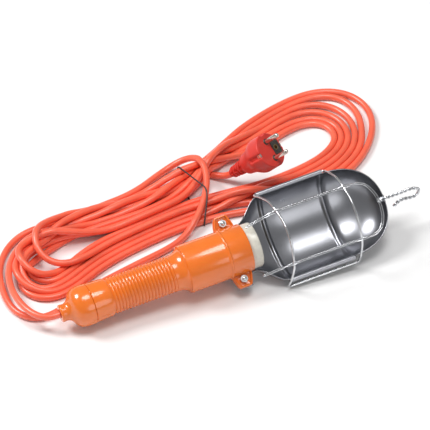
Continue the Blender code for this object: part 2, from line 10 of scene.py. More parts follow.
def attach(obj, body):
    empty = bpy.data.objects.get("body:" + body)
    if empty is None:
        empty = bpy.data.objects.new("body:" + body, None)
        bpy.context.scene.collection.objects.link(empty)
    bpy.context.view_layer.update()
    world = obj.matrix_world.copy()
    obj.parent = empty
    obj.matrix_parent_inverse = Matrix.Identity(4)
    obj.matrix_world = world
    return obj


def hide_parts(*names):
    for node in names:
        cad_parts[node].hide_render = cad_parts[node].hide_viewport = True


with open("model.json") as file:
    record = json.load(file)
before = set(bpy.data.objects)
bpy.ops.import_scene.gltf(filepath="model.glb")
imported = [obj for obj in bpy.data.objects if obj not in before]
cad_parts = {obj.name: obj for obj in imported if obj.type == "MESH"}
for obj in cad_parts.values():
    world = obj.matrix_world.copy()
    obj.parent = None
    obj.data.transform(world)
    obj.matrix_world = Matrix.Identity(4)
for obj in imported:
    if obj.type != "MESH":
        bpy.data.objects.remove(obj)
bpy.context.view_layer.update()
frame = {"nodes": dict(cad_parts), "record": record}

MM = 0.001

# The lamp's own frame, as in the CAD: x along it, y across to the hinged edge, z out of the opening
TAIL = Vector((-198.49, 2.962, 20.367)) * MM
LYING = Matrix.Rotation(-math.radians(4.2), 4, "Y") @ Matrix.Rotation(math.radians(34.5), 4, "X")
LAMP = Matrix.Translation(TAIL) @ LYING

CORD_D = 7.0

# Routes of the lead, mm from the floor point below the tail
LEAD_EXIT = [
    (-0.3, 0, 20.35), (-9, 0.6, 19.6), (-18, 5, 19.2), (-25.5, 17, 18.8), (-29.5, 33, 18), (-30, 52, 16.5),
    (-26, 73, 14), (-18, 92, 11.5), (-6, 108, 9.3), (7, 120.3, 8), (18, 126.8, 7.5), (29.4, 128.3, 7.5),
]
LEAD_ARCH = [
    (98.4, 138.6, 11), (107, 138.9, 11), (119, 141.5, 10.8), (136, 145.8, 9.8), (156, 151.5, 9),
    (179, 163.5, 8.8), (197, 170.5, 12), (209, 167.5, 17.5), (214, 153, 21.6), (212.5, 131, 22.6),
    (203.5, 107, 22.9), (190.5, 92.5, 22.4), (179.5, 80, 17.6), (167, 69, 7.8), (150, 61, 3.8),
    (124, 56, 3.75), (96, 49, 3.75), (66, 42, 3.75), (38, 34, 3.75), (14, 24, 3.75), (-6, 18, 3.75),
    (-21, 21, 3.75), (-31, 32, 3.75), (-35, 48, 3.75), (-34, 70, 3.75), (-29, 92, 3.75),
    (-19, 111, 3.75), (-5, 126.5, 3.8), (10, 135.3, 4.5), (20, 137.1, 5.7), (29.6, 137.4, 6.5),
]
LEAD_PLUG = [
    (221.5, 145.3, 4.6), (226.7, 140.4, 4.6), (232.3, 135.1, 5.6), (237.5, 130.2, 8.8),
    (239.8, 128, 10.7), (241.8, 126.2, 13.7),
]

# Centre lines of the outermost and innermost turn of the hank, matched point by point, clockwise
BACK = [
    ((100, 133), (100, 107)), ((140, 139), (140, 109)), ((176, 146), (176, 114)), ((193, 147.5), (194, 119)),
    ((214, 154), (216, 145)), ((240, 168), (240, 154)), ((262, 179), (262, 158)), ((286, 192), (290, 164)),
    ((320, 204), (315, 168)), ((355, 215.5), (343, 170)), ((374, 217.5), (357, 166)),
    ((390, 213.5), (365, 158)), ((402.5, 203), (368, 149)), ((409, 187), (366, 140)),
    ((411, 166), (361, 132)), ((407, 144), (349, 126)), ((398.5, 126.5), (337, 121)),
    ((384.5, 111), (326, 117)), ((362, 96.5), (314, 114)), ((337, 85), (301, 112)),
    ((309, 78), (286, 111)), ((280, 76), (266, 110)), ((250, 78), (246, 109.5)), ((220, 81), (224, 112)),
    ((200, 88), (203, 112)), ((178, 89), (180, 111)), ((154, 84.5), (154, 107)), ((118, 76.5), (118, 101)),
]
TURNS = 6
# Per turn: the fold at the left end (tip station, low and high y), and how far in its front and back
# lanes lie at the tie and at the right end (0 outer, 1 inner)
LEFT_FOLDS = [
    (-16.0, 45.0, 89.0), (-12.0, 53.0, 96.0), (-4.0, 64.0, 107.0), (-15.0, 49.0, 101.0), (-9.0, 67.0, 110.0),
]
FRONT_SHARE = [0.0, 0.35, 0.75, 0.15, 0.95, 0.55]
BACK_SHARE = [0.15, 0.65, 0.35, 0.85, 0.0, 1.0]
LOOP_SHARE = [0.0, 0.2, 0.58, 0.8, 1.0, 0.38]
FOLD_ORDER = [0, 2, 1, 3, 4]
FRONT_LAYER = [2 + 2 * n for n in FOLD_ORDER] + [12]
BACK_LAYER = [1] + [3 + 2 * n for n in FOLD_ORDER]
LAYER = 8.0
RUN_Z = 5.0
# How far a lane wanders between its neighbours, and how fast along the turn and from turn to turn
WANDER, WANDER_ALONG, WANDER_BY_TURN = 0.12, 0.8, 2.1
INNER_LOOP = [
    (66, 84), (44, 74), (28, 74), (17, 82), (13, 95), (17, 109), (26, 121), (40, 131), (58, 137), (78, 139),
]
FLOOR_RUN = [(52, 138), (80, 136.5), (110, 133), (140, 131), (170, 134), (192, 140), (208, 146)]
STEP, FINE_STEP = 4.0, 3.0
SETTLE_ROUNDS = 900
LEAST_BEND_R = 22.0
# Least distance between points that many steps apart, for that bend
BENDS = [(n, 2 * LEAST_BEND_R * math.sin(n * STEP / (2 * LEAST_BEND_R))) for n in (2, 4, 6, 8, 10)]

# Stations along the lamp and sizes across it, mm, as in the CAD
CAP_END, GRIP_START = 32.3, 32.6
RIB_START, RIB_END, RIB_COUNT = 54.0, 121.0, 19
TUBE_START, BEAD_AT, EAR_AT = 134.0, 178.5, 188.0
COLLAR_END, CERAMIC_END = 202.0, 213.0
TROUGH_START, TROUGH_END, DOME_TIP = 232.5, 305.0, 356.0
NECK_STATION, FULL_DEPTH_STATION = 204.0, 258.0
NECK_R, RIB_R, RIB_DEPTH, TUBE_R = 9.0, 18.9, 1.1, 25.0
EAR_Y, EAR_REACH, EAR_HALF = 30.0, 38.0, 4.5
NUT_LOW, NUT_HIGH, NUT_FLATS = 2.3, 5.4, 7.3
TAB_Z, SHEET, RIM_Z = -5.3, 0.8, -1.0
HALF_WIDTH, DEPTH, CURL_R = 45.0, 34.0, 2.0
CURL_Y = HALF_WIDTH + CURL_R
HIP_HINGE_Y, HIP_FREE_Y, HIP_Z = 33.0, -40.0, 24.0
NEAR_HOOP, NEAR_LEAN, FAR_HOOP, FAR_LEAN = 229.5, 7.5, 308.0, 3.0
WIRE_R, STRAND_R, CROSSING = 1.2, 0.55, 2.1
HOOK_Z, ROLL = -7.0, math.radians(34.5)

PLUG_AXIS = Vector((0.49, -0.46, 0.74)).normalized()
PLUG_PIN_LINE = Vector((0.234, -0.749, -0.620)).normalized()
PLUG_CABLE_END = Vector((242.0, 126.0, 14.0))
FACE, PIN_Y, EARTH_Z = 62.0, 9.5, 9.6
PIN_R, PIN_LENGTH = 2.4, 19.0
TIE_R, TIE_STEP = 0.75, 0.8
TIE_PATH = [(191, 162), (193, 152), (199, 134), (204.5, 110), (200, 94), (189, 76)]
FLOOR_TAIL = Vector((TAIL.x / MM, TAIL.y / MM, 0))
THREAD_PITCH = 3.63
RELIEF_RIBS, RELIEF_TOP, RELIEF_PITCH = 5, 22.6, 4.3

# Degrees round from straight ahead and up from level, metres away, and mm of lens
CAMERA_AZIMUTH, CAMERA_ELEVATION, CAMERA_AWAY, CAMERA_LENS = -23.4, 43.8, 4.505, 374.1


def placed(points, matrix=None):
    """World places in metres of points in mm, in a frame or measured from the floor below the tail."""
    p = np.asarray(points, float)
    if matrix is None:
        return (p + np.array(FLOOR_TAIL)) * MM
    m = np.array(matrix)
    return p * MM @ m[:3, :3].T + m[:3, 3]


# ---------------------------------------------------------------- finishes

class Finish:
    """A procedural material: colour, roughness and relief all vary over the piece."""

    def __init__(self, name):
        self.mat = bpy.data.materials.new(name)
        self.mat.use_nodes = True
        self.tree = self.mat.node_tree
        self.shader = self.tree.nodes["Principled BSDF"]
        self.place = self.node("ShaderNodeTexCoord").outputs["Object"]

    def node(self, kind, **values):
        made = self.tree.nodes.new(kind)
        for key, value in values.items():
            if key in made.inputs:
                made.inputs[key].default_value = value
            else:
                setattr(made, key, value)
        return made

    def link(self, out, into):
        self.tree.links.new(out, into)

    def noise(self, scale, detail=4.0):
        made = self.node("ShaderNodeTexNoise", Scale=scale, Detail=detail)
        self.link(self.place, made.inputs["Vector"])
        return made.outputs["Fac"]

    def ramp(self, source, stops):
        made = self.node("ShaderNodeValToRGB")
        marks = made.color_ramp.elements
        while len(marks) < len(stops):
            marks.new(0.5)
        for mark, (at, color) in zip(marks, stops):
            mark.position = at
            mark.color = (*color, 1.0)
        self.link(source, made.inputs["Fac"])
        return made.outputs["Color"]

    def color(self, source, stops):
        self.link(self.ramp(source, stops), self.shader.inputs["Base Color"])

    def roughness(self, source, low, high):
        made = self.node("ShaderNodeMapRange")
        made.inputs["From Min"].default_value = 0.3
        made.inputs["From Max"].default_value = 0.7
        made.inputs["To Min"].default_value = low
        made.inputs["To Max"].default_value = high
        self.link(source, made.inputs["Value"])
        self.link(made.outputs["Result"], self.shader.inputs["Roughness"])

    def relief(self, source, height, strength=1.0):
        bump = self.node("ShaderNodeBump")
        bump.inputs["Distance"].default_value = height
        bump.inputs["Strength"].default_value = strength
        self.link(source, bump.inputs["Height"])
        self.link(bump.outputs["Normal"], self.shader.inputs["Normal"])

    def set(self, **values):
        for key, value in values.items():
            self.shader.inputs[key.replace("_", " ")].default_value = value
        return self


def shade_of(color, factor):
    return tuple(min(1.0, c * factor) for c in color)


def plastic(name, color, low, high, mottle=0.12, scale=60.0, height=0.00002, **extra):
    f = Finish(name)
    stops = [(0.3, shade_of(color, 1 - mottle)), (0.5, color), (0.72, shade_of(color, 1 + mottle))]
    f.color(f.noise(scale), stops)
    f.roughness(f.noise(scale * 4), low, high)
    f.relief(f.noise(scale * 18, 3.0), height)
    return f.set(**extra).mat


def metal(name, color, low, high, scale=90.0, mottle=0.15, height=0.00001, dark=0.0):
    f = Finish(name)
    stops = [(0.28, shade_of(color, 1 - mottle)), (0.5, color), (0.75, shade_of(color, 1 + mottle * 0.6))]
    if dark:
        stops = [(0.2, shade_of(color, 1 - dark))] + stops
    f.color(f.noise(scale, 6.0), stops)
    f.roughness(f.noise(scale * 2.5, 5.0), low, high)
    if height:
        f.relief(f.noise(scale * 9, 4.0), height)
    return f.set(Metallic=1.0).mat


def make_finishes():
    orange = plastic("orange plastic", (0.83, 0.175, 0.013), 0.16, 0.26, 0.07, 35.0, 0.000006,
                     Coat_Weight=0.7, Coat_Roughness=0.1, Subsurface_Weight=0.08, Subsurface_Scale=0.004)
    coral = plastic("coral cable sheath", (0.93, 0.14, 0.07), 0.3, 0.4, 0.1, 45.0, 0.00002,
                    Coat_Weight=0.5, Coat_Roughness=0.3, Subsurface_Weight=0.12, Subsurface_Scale=0.003)
    red = plastic("red plug rubber", (0.68, 0.036, 0.024), 0.34, 0.46, 0.1, 80.0, 0.00003)
    return {
        "orange_plastic": orange, "coral_cable": coral, "red_plug": red,
        "black_rubber": plastic("black rubber", (0.022, 0.021, 0.02), 0.55, 0.7),
        "black_tie": plastic("black tie", (0.02, 0.02, 0.022), 0.35, 0.5, 0.2, 200.0),
        "dark_insert": plastic("dark plug insert", (0.06, 0.048, 0.042), 0.3, 0.45, 0.15, 150.0),
        "cream_ceramic": plastic("cream ceramic", (0.64, 0.61, 0.53), 0.25, 0.4, 0.1, 220.0, 0.00004,
                                 Coat_Weight=0.4, Coat_Roughness=0.15),
        "bright_sheet": metal("bright steel sheet", (0.34, 0.345, 0.37), 0.27, 0.31, 9.0, 0.06, 0.0),
        "plain_steel": metal("plain steel", (0.5, 0.5, 0.5), 0.3, 0.42),
        "zinc_wire": metal("zinc plated wire", (0.66, 0.67, 0.69), 0.12, 0.28, 140.0, 0.25, 0.00002, 0.6),
        "bright_zinc": metal("bright zinc", (0.86, 0.86, 0.87), 0.26, 0.36),
        "nickel_plate": metal("nickel plated brass", (0.78, 0.75, 0.68), 0.14, 0.26, 120.0, 0.1),
        "brass": metal("brass", (0.72, 0.52, 0.24), 0.25, 0.38),
        "brown_core": plastic("brown core", (0.2, 0.08, 0.03), 0.4, 0.5),
        "blue_core": plastic("blue core", (0.05, 0.2, 0.6), 0.4, 0.5),
    }


# ---------------------------------------------------------------- building in mesh code

def piece(name, parts, slot, body="handle", nodes=(), sharp=38.0, finish=None):
    """One object of several (points in metres, faces) parts, riding a body and standing for CAD nodes."""
    verts, faces = [], []
    for points, part in parts:
        base = len(verts)
        verts.extend(map(tuple, points))
        faces.extend(tuple(base + i for i in face) for face in part)
    mesh = bpy.data.meshes.new(name)
    mesh.from_pydata(verts, [], faces)
    bm = bmesh.new()
    bm.from_mesh(mesh)
    bmesh.ops.remove_doubles(bm, verts=bm.verts, dist=0.000002)
    bmesh.ops.recalc_face_normals(bm, faces=bm.faces)
    bm.to_mesh(mesh)
    bm.free()
    mesh.shade_smooth()
    mesh.set_sharp_from_angle(angle=math.radians(sharp))
    mesh.materials.append(FINISHES[finish or slot])
    obj = bpy.data.objects.new(name, mesh)
    bpy.context.scene.collection.objects.link(obj)
    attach(obj, body)
    if nodes:
        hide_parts(*nodes)
    return obj


def bands(rows, columns, ring=True, loop=True):
    """Faces between rows of points, each of `columns`; rows close up if `ring`, columns if `loop`."""
    faces = []
    for i in range(rows if ring else rows - 1):
        for j in range(columns if loop else columns - 1):
            k, n = (i + 1) % rows, (j + 1) % columns
            faces.append((i * columns + j, i * columns + n, k * columns + n, k * columns + j))
    return faces


def turned(outline, steps, matrix, ring=True, at=(0, 0), shape=None):
    """An outline of (station, radius) turned round a line along x; `shape` changes a radius by angle."""
    points = []
    for s, r in outline:
        for j in range(steps):
            a = 2 * math.pi * j / steps
            reach = shape(s, r, a) if shape else r
            points.append((s, at[0] + reach * math.cos(a), at[1] + reach * math.sin(a)))
    return placed(points, matrix), bands(len(outline), steps, ring)


def wire(points, radius, sides=12, closed=False, radii=None):
    """A round wire along points in metres; `radius` in mm."""
    p = np.asarray(points, float)
    n = len(p)
    if closed:
        along = np.roll(p, -1, 0) - np.roll(p, 1, 0)
    else:
        along = np.gradient(p, axis=0)
    along /= np.linalg.norm(along, axis=1)[:, None]
    first = np.cross(along[0], (0.31, 0.22, 0.92))
    sides_of = [first / np.linalg.norm(first)]
    for t in along[1:]:
        s = sides_of[-1] - t * sides_of[-1].dot(t)
        sides_of.append(s / np.linalg.norm(s))
    sides_of = np.array(sides_of)
    spin = np.zeros(n)
    if closed:
        t = along[0]
        last = sides_of[-1] - t * sides_of[-1].dot(t)
        off = math.atan2(np.cross(last, sides_of[0]).dot(t), last.dot(sides_of[0]))
        spin = np.linspace(0, off, n, endpoint=False)
    other = np.cross(along, sides_of)
    size = np.full(n, radius, float) if radii is None else np.asarray(radii, float)
    rows = []
    for j in range(sides):
        a = 2 * math.pi * j / sides + spin
        rows.append(p + (sides_of * np.cos(a)[:, None] + other * np.sin(a)[:, None]) * (size * MM)[:, None])
    grid = np.stack(rows, 1).reshape(-1, 3)
    faces = bands(n, sides, ring=closed)
    if not closed:
        faces += [tuple(range(sides)), tuple(range((n - 1) * sides, n * sides))]
    return grid, faces


def outline_plate(loops, matrix):
    """Rings of matched points in mm, skinned one to the next and closed from last to first."""
    count = len(loops[0])
    points = [p for ring in loops for p in ring]
    return placed(points, matrix), bands(len(loops), count)


def arc(centre, radii, start, end, count):
    """Points (station, radius) on an ellipse arc, angles in degrees from +station."""
    points = []
    for i in range(count + 1):
        a = math.radians(start + (end - start) * i / count)
        points.append((centre[0] + radii[0] * math.cos(a), centre[1] + radii[1] * math.sin(a)))
    return points


def circle(centre, radius, count):
    """Points (x, y) evenly round a circle."""
    angles = [2 * math.pi * i / count for i in range(count)]
    return [(centre[0] + radius * math.cos(a), centre[1] + radius * math.sin(a)) for a in angles]


def rounded(points, radius, count=5):
    """A closed outline of (x, y) with its corners rounded."""
    out = []
    n = len(points)
    for i, corner in enumerate(points):
        c = Vector(corner)
        a, b = Vector(points[i - 1]), Vector(points[(i + 1) % n])
        reach = min(radius, (a - c).length * 0.45, (b - c).length * 0.45)
        start, end = c + (a - c).normalized() * reach, c + (b - c).normalized() * reach
        for j in range(count + 1):
            t = j / count
            out.append(tuple(start * (1 - t) ** 2 + c * 2 * t * (1 - t) + end * t * t))
    return out


def by_angle(outline, centre, count):
    """Points of an outline where rays from a centre at even angles meet it."""
    out = []
    n = len(outline)
    for i in range(count):
        a = 2 * math.pi * i / count
        d = (math.cos(a), math.sin(a))
        best = None
        for j in range(n):
            (x1, y1), (x2, y2) = outline[j], outline[(j + 1) % n]
            ex, ey = x2 - x1, y2 - y1
            det = d[0] * -ey + ex * d[1]
            if abs(det) < 1e-9:
                continue
            rx, ry = x1 - centre[0], y1 - centre[1]
            t = (rx * -ey + ex * ry) / det
            u = (d[0] * ry - d[1] * rx) / det
            if t > 0 and -1e-6 <= u <= 1 + 1e-6 and (best is None or t > best):
                best = t
        out.append((centre[0] + d[0] * best, centre[1] + d[1] * best))
    return out


def smooth_line(points, step):
    """Points `step` apart along a smooth curve through `points`, an (n, 3) array."""
    p = np.asarray(points, float)
    p = np.vstack([2 * p[0] - p[1], p, 2 * p[-1] - p[-2]])
    out = []
    for a, b, c, d in zip(p, p[1:], p[2:], p[3:]):
        for t in np.arange(12) / 12:
            out.append(0.5 * (2 * b + (c - a) * t + (2 * a - 5 * b + 4 * c - d) * t * t
                              + (3 * b - a - 3 * c + d) * t ** 3))
    out = np.array(out + [p[-2]])
    run = np.concatenate([[0], np.cumsum(np.linalg.norm(np.diff(out[:, :3], axis=0), axis=1))])
    at = np.linspace(0, run[-1], max(2, int(round(run[-1] / step)) + 1))
    return np.column_stack([np.interp(at, run, out[:, i]) for i in range(out.shape[1])])


def turn_points(k):
    """One turn from the left end along the back, round the right end and back along the front."""
    count = len(BACK)
    points = []
    for j, (outer, inner) in enumerate(BACK):
        loop = min(1.0, max(0.0, (min(j, count - 1 - j) - 3) / 3.0))
        tie = BACK_SHARE[k] if j < count / 2 else FRONT_SHARE[k]
        wander = WANDER * math.sin(WANDER_ALONG * j + WANDER_BY_TURN * k)
        share = tie + (LOOP_SHARE[k] + wander - tie) * loop
        across = min(1.0, max(0.0, (j - 9) / 8.0))
        layer = BACK_LAYER[k] + (FRONT_LAYER[k] - BACK_LAYER[k]) * across
        x, y = [o + (i - o) * share for o, i in zip(outer, inner)]
        points.append((x, y, RUN_Z, layer))
    return points


def fold_points(k):
    """The fold at the left end between turn k and the next."""
    tip, low, high = LEFT_FOLDS[k]
    r = (high - low) / 2
    start, end = FRONT_LAYER[k], BACK_LAYER[k + 1]
    points = [(66.0, 66.0 + 28.0 * FRONT_SHARE[k], RUN_Z, start)]
    for i in range(7):
        a = math.radians(-75 - 210 * i / 6)
        points.append((tip + r + r * math.cos(a), (low + high) / 2 + r * math.sin(a), RUN_Z,
                       start + (end - start) * i / 6))
    return points + [(62.0, 134.0 - 26.0 * BACK_SHARE[k + 1], RUN_Z, end)]


def lay_out():
    """The whole lead (x, y, z), how many layers up each point starts, and how firmly it is held."""
    top = FRONT_LAYER[-1]
    parts = [([p + (0,) for p in LEAD_EXIT], 1.0)]
    for k in range(TURNS):
        parts.append((turn_points(k), 0.0))
        if k < TURNS - 1:
            parts.append((fold_points(k), 0.0))
    parts.append(([(x, y, 14, top) for x, y in INNER_LOOP], 0.0))
    parts.append(([p + (top,) for p in LEAD_ARCH[:12]], 0.04))
    parts.append(([p + (top * (1 - (i + 1) / 5),) for i, p in enumerate(LEAD_ARCH[12:16])], 0.04))
    parts.append(([p + (0,) for p in LEAD_ARCH[16:]], 0.4))
    parts.append(([(x, y, 3.7, 0) for x, y in FLOOR_RUN], 0.2))
    parts.append(([p + (0,) for p in LEAD_PLUG], 1.0))
    rows = np.array([p + (hold,) for part, hold in parts for p in part], float)
    return smooth_line(rows, STEP)


def settle(rows):
    """Drops the line onto the floor and onto itself, at its own thickness and stiffness."""
    home = rows[:, :3].copy()
    hold = np.clip(rows[:, 4], 0, 1)
    p = home + np.outer(rows[:, 3] * LAYER, (0, 0, 1))
    n = len(p)
    ids = np.arange(n)
    gap = int(math.ceil(2.6 * CORD_D / STEP))
    soft = 1 - 0.9 * hold
    reach = CORD_D + 0.15
    for turn in range(SETTLE_ROUNDS):
        done = turn / SETTLE_ROUNDS
        p[:, 2] -= (1 - hold) * (0.35 if done < 0.4 else 0.06)
        pull = 0.02 * (1 - done) + 0.004
        p[:, :2] += (home - p)[:, :2] * np.maximum(pull, 0.25 * hold)[:, None]
        p[:, 2] += (home - p)[:, 2] * np.where(hold > 0.1, 0.25 * hold, 0)
        if turn % 6 == 0:
            sq = (p * p).sum(1)
            near = sq[:, None] + sq[None, :] - 2 * p @ p.T < (CORD_D + 3.5) ** 2
            near &= (ids[None, :] - ids[:, None]) > gap
            first, second = np.nonzero(near)
            along = np.gradient(p[:, :2], axis=0)
            along /= np.linalg.norm(along, axis=1)[:, None] + 1e-9
            slant = along[first, 0] * along[second, 1] - along[first, 1] * along[second, 0]
            crossing = np.abs(slant) > 0.3
            above = np.sign(rows[second, 3] - rows[first, 3] + 0.01)
        for stride, weight in ((1, 0.06), (2, 0.05), (4, 0.02)):
            lap = p[:-2 * stride] - 2 * p[stride:-stride] + p[2 * stride:]
            bow = lap[:-2 * stride] - 2 * lap[stride:-stride] + lap[2 * stride:]
            p[2 * stride:-2 * stride] -= weight * bow
        for _ in range(3):
            for apart, least in BENDS:
                d = p[apart:] - p[:-apart]
                dist = np.linalg.norm(d, axis=1)
                open_up = d / dist[:, None] * (np.clip(least - dist, 0, 2.0) * 0.25)[:, None]
                p[apart:] += open_up * soft[apart:, None]
                p[:-apart] -= open_up * soft[:-apart, None]
            seg = np.diff(p, axis=0)
            length = np.linalg.norm(seg, axis=1)
            fix = seg * ((length - STEP) / length * 0.3)[:, None]
            p[:-1] += fix * soft[:-1, None]
            p[1:] -= fix * soft[1:, None]
            d = p[second] - p[first]
            dist = np.linalg.norm(d, axis=1) + 1e-9
            flat = np.hypot(d[:, 0], d[:, 1])
            lift = np.sqrt(np.clip(reach ** 2 - flat ** 2, 0, None)) - d[:, 2] * above
            push = np.where(crossing, lift, reach - dist)
            push = np.clip(push, 0, 1.5)
            hit = push > 0
            a, b = first[hit], second[hit]
            up = np.column_stack([np.zeros(len(a)), np.zeros(len(a)), above[hit]])
            way = np.where(crossing[hit, None], up, d[hit] / dist[hit, None])
            move = way * push[hit, None] * 0.5
            shift = np.column_stack([np.bincount(b, move[:, axis], n) - np.bincount(a, move[:, axis], n)
                                     for axis in range(3)])
            crowd = np.bincount(a, minlength=n) + np.bincount(b, minlength=n)
            p += shift / np.maximum(1, crowd * 0.55)[:, None] * soft[:, None]
            p[:, 2] = np.maximum(p[:, 2], CORD_D / 2 + 0.1)
        p[:3], p[-3:] = home[:3], home[-3:]
    return p


# ---------------------------------------------------------------- camera, floor and light

def aim(obj, place, target):
    obj.location = place
    obj.rotation_euler = (Vector(target) - Vector(place)).to_track_quat("-Z", "Y").to_euler()


def make_camera():
    az, el = math.radians(CAMERA_AZIMUTH), math.radians(CAMERA_ELEVATION)
    back = Vector((math.sin(az) * math.cos(el), -math.cos(az) * math.cos(el), math.sin(el)))
    right = Vector((math.cos(az), math.sin(az), 0))
    up = back.cross(right)
    target = Vector((-18.49, 2.962, 18.367)) * MM - right * 0.010786 + up * 0.050706
    data = bpy.data.cameras.new("camera")
    data.lens = CAMERA_LENS
    data.clip_end = 20
    camera = bpy.data.objects.new("camera", data)
    bpy.context.scene.collection.objects.link(camera)
    aim(camera, target + back * CAMERA_AWAY, target)
    bpy.context.scene.camera = camera


def lamp_area(name, place, target, size, power, color=(1, 1, 1)):
    data = bpy.data.lights.new(name, "AREA")
    data.shape = "DISK"
    data.size = size
    data.energy = power
    data.color = color
    obj = bpy.data.objects.new(name, data)
    bpy.context.scene.collection.objects.link(obj)
    aim(obj, place, target)


def make_stage():
    points = [(-3, -3, -0.0002), (3, -3, -0.0002), (3, 3, -0.0002), (-3, 3, -0.0002)]
    mesh = bpy.data.meshes.new("floor")
    mesh.from_pydata(points, [], [(0, 1, 2, 3)])
    f = Finish("pale floor")
    f.color(f.noise(3.0), [(0.3, (0.88, 0.875, 0.87)), (0.7, (0.92, 0.92, 0.92))])
    f.roughness(f.noise(12.0), 0.6, 0.7)
    mesh.materials.append(f.mat)
    floor = bpy.data.objects.new("floor", mesh)
    bpy.context.scene.collection.objects.link(floor)
    bpy.context.scene.view_settings.view_transform = "Standard"
    world = bpy.context.scene.world or bpy.data.worlds.new("studio")
    bpy.context.scene.world = world
    world.use_nodes = True
    sky = world.node_tree.nodes["Background"]
    sky.inputs["Color"].default_value = (1, 1, 1, 1)
    sky.inputs["Strength"].default_value = 0.31
    lamp_area("key_light", (-1.6, 1.25, 2.4), (0, 0, 0), 1.25, 66)
    lamp_area("top_light", (0.1, -0.2, 3.0), (0, 0.05, 0), 1.3, 36)
    lamp_area("fill_light", (0.5, -2.2, 1.0), (0, 0, 0), 1.3, 8)


# ---------------------------------------------------------------- the lead

def make_lead():
    """The whole lead as one line, settled on the floor and on itself."""
    line = lay_out()
    line = settle(line)
    line = smooth_line(line, FINE_STEP)[:, :3]
    points = placed(line)
    curve = bpy.data.curves.new("lead", "CURVE")
    curve.dimensions = "3D"
    curve.bevel_depth = CORD_D / 2 * MM
    curve.bevel_resolution = 4
    curve.use_fill_caps = True
    spline = curve.splines.new("POLY")
    spline.points.add(len(points) - 1)
    spline.points.foreach_set("co", np.column_stack([points, np.ones(len(points))]).ravel())
    spline.use_smooth = True
    curve.materials.append(FINISHES["coral_cable"])
    lead = bpy.data.objects.new("lead", curve)
    bpy.context.scene.collection.objects.link(lead)
    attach(lead, "handle")
    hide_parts("lead_exit", "lead_arch", "lead_hank", "lead_plug_end")
    length = float(np.linalg.norm(np.diff(points, axis=0), axis=1).sum())
    return lead, line, length


def hull(points):
    """Convex outline of (u, v) points, anticlockwise."""
    pts = sorted(set(map(tuple, points)))
    out = []
    for run in (pts, pts[::-1]):
        side = []
        for p in run:
            while len(side) > 1:
                (ax, ay), (bx, by) = side[-2], side[-1]
                if (bx - ax) * (p[1] - ay) - (by - ay) * (p[0] - ax) > 0:
                    break
                side.pop()
            side.append(p)
        out += side[:-1]
    return out


def make_tie(line):
    """A thin wire bound over all the strands along TIE_PATH and back beneath them."""
    path = smooth_line(np.array(TIE_PATH, float), TIE_STEP)
    fine = smooth_line(line, 1.0)
    reach = CORD_D / 2 + TIE_R + 0.1
    top = []
    for i, spot in enumerate(path):
        away = np.hypot(fine[:, 0] - spot[0], fine[:, 1] - spot[1])
        near = away < reach
        if near.any():
            over = fine[near, 2] + np.sqrt(reach ** 2 - away[near] ** 2)
            top.append((i * TIE_STEP, float(over.max())))
    ring = hull(top + [(top[0][0], TIE_R), (top[-1][0], TIE_R)])
    run = np.arange(len(path)) * TIE_STEP
    loop = [(np.interp(u, run, path[:, 0]), np.interp(u, run, path[:, 1]), z) for u, z in ring]
    band = wire(placed(softened(loop, 1.5, 1.2)), TIE_R, 8, closed=True)
    return piece("hank_tie_wire", [band], "black_tie", nodes=("hank_tie",))


# ---------------------------------------------------------------- the handle

def make_tail_cap():
    outline = [(0.0, 4.2), (0.0, 7.9), (0.35, 8.6), (1.0, NECK_R), (3.0, NECK_R), (3.9, 8.7), (6.0, 8.8)]
    outline += [(8.0, 9.5), (9.8, 10.9), (11.3, 12.9), (12.6, 15.2), (14.2, 17.4), (16.2, 19.1), (18.8, 20.3)]
    outline += [(22.0, 21.0), (26.0, 21.3), (30.0, 21.2), (CAP_END - 0.5, 20.95), (CAP_END, 20.4)]
    outline += [(CAP_END, 15.3), (21.0, 15.3), (21.0, 4.2)]
    piece("tail_cap_moulding", [turned(outline, 96, LAMP)], "orange_plastic", nodes=("tail_cap",))


def grip_outline():
    points = [(GRIP_START, 20.0), (GRIP_START + 0.5, 20.5), (42.0, 20.1), (50.5, 19.7), (51.8, 19.3)]
    pitch = (RIB_END - RIB_START) / RIB_COUNT
    for i in range(RIB_COUNT):
        base = RIB_START + i * pitch
        for t in (0.0, 0.12, 0.26, 0.42, 0.6, 0.76, 0.9):
            uneven = 0.02 * (2 * t % 1.0)
            height = math.sin(math.pi * t) ** 0.7 if t > 0 else 0.0
            points.append((base + t * pitch, RIB_R - RIB_DEPTH * (1 - height) - uneven))
    flare = arc((RIB_END, TUBE_R), (TUBE_START - RIB_END, TUBE_R - RIB_R + RIB_DEPTH - 0.8), 270, 356, 14)
    points += flare + [(TUBE_START + 1, TUBE_R)]
    points += [(BEAD_AT - 2.2, TUBE_R), (BEAD_AT - 1.6, TUBE_R + 0.1)]
    points += arc((BEAD_AT, TUBE_R), (1.3, 1.2), 170, 10, 8)
    points += [(BEAD_AT + 1.6, TUBE_R + 0.1), (BEAD_AT + 2.2, TUBE_R)]
    rim = [(COLLAR_END - 0.9, TUBE_R), (COLLAR_END - 0.25, TUBE_R - 0.25), (COLLAR_END, TUBE_R - 0.9)]
    return points + rim


